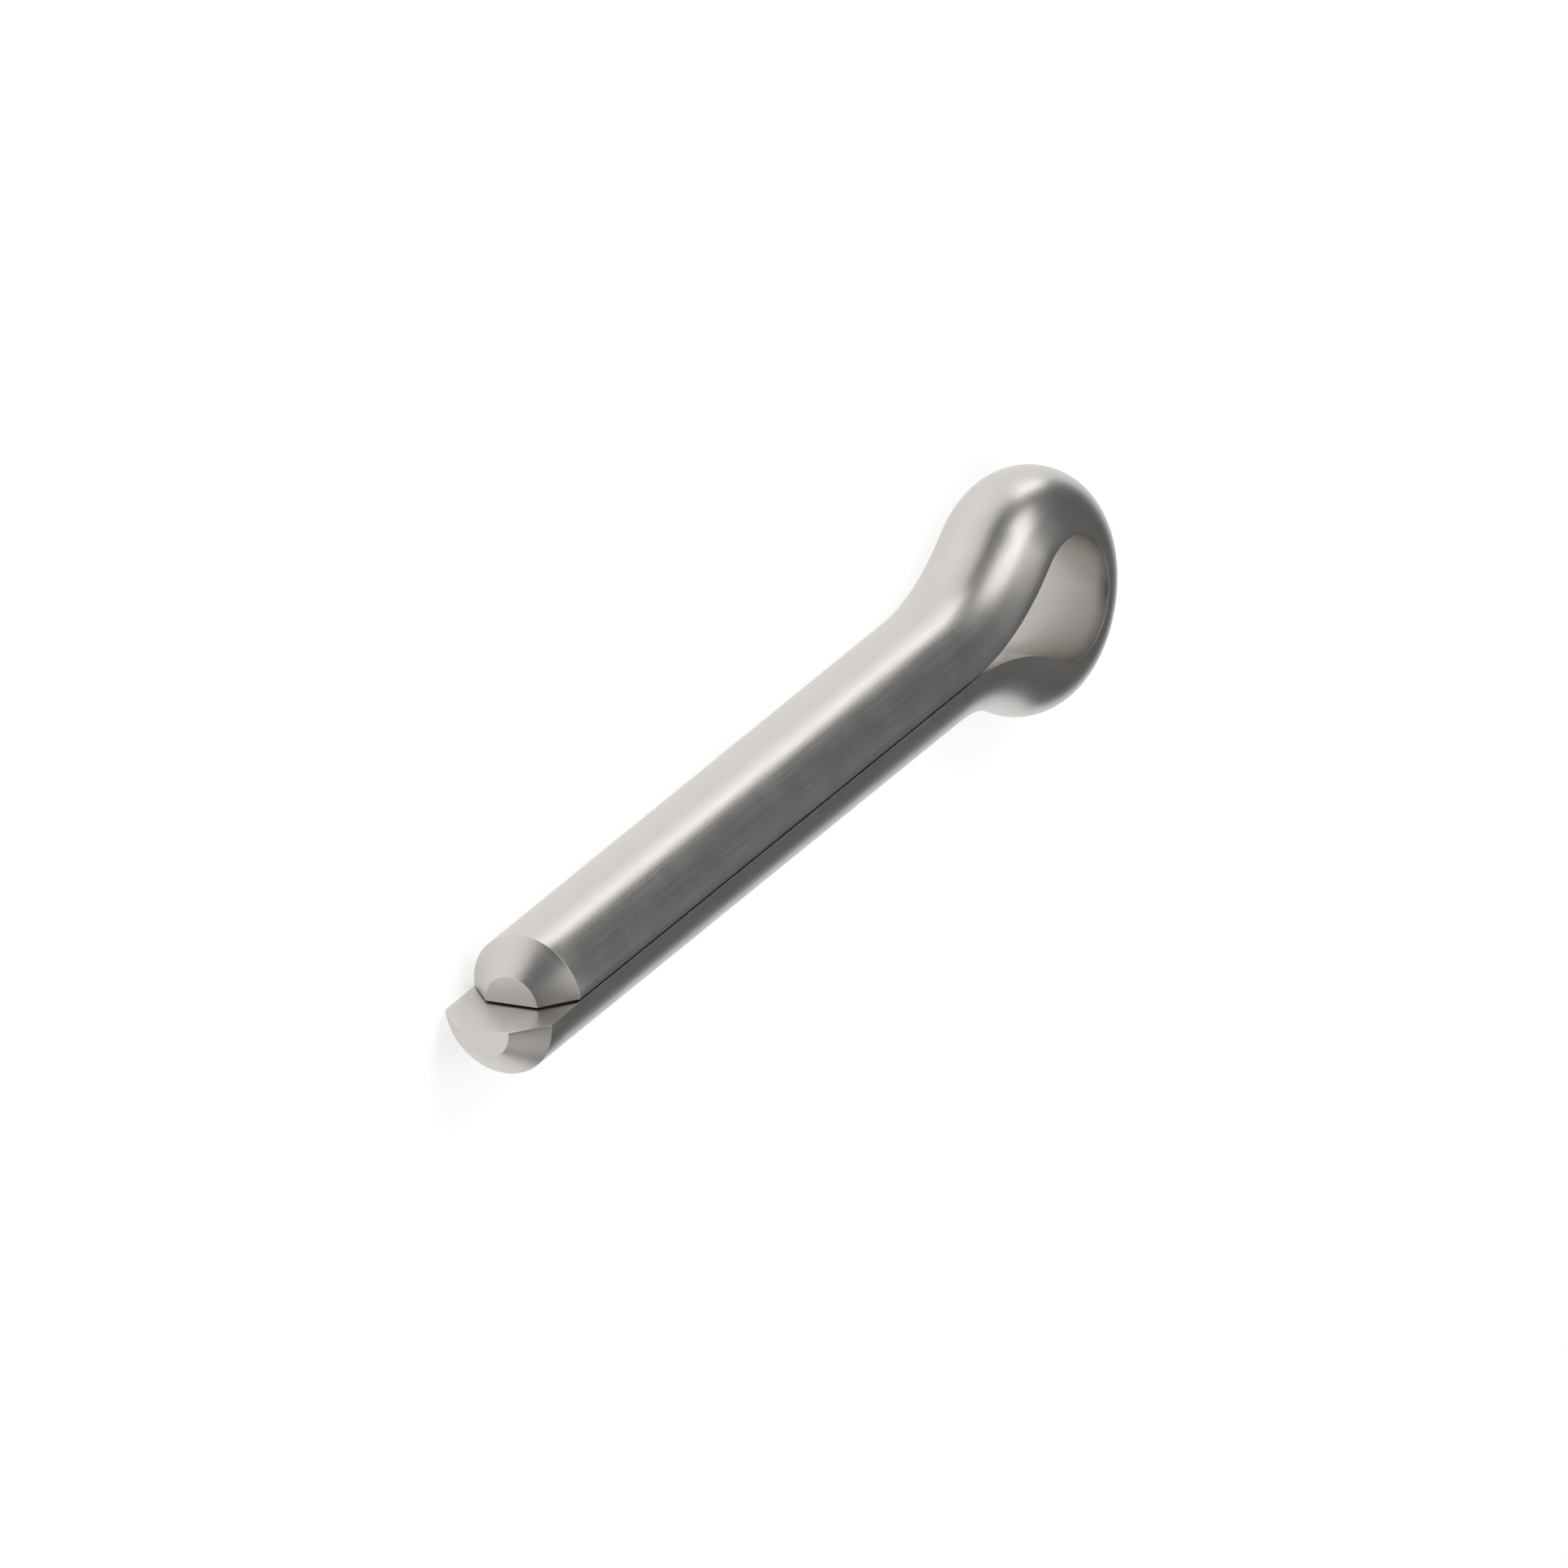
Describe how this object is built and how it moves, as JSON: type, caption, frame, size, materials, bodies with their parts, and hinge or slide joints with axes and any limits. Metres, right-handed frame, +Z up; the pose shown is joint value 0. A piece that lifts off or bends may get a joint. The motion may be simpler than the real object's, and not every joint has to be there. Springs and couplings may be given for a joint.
{
  "type": "cotter pin",
  "caption": "Split cotter pin of half-round wire, with a round eye, a closed straight shank and chamfered legs of unequal length.",
  "frame": {"origin": "on the axis of the shank, level with the rim of the hole that stops the neck, which is where the nominal length is measured from", "axes": "+X along the shank from the eye towards the tips, +Y towards the long leg, +Z along the hole of the eye; the pin lies flat with +Z up"},
  "size_m": [0.0557, 0.0118, 0.0058],
  "materials": {
    "steel": "satin"
  },
  "bodies": {
    "root": {"cotter_pin": "steel"}
  },
  "joints": []
}
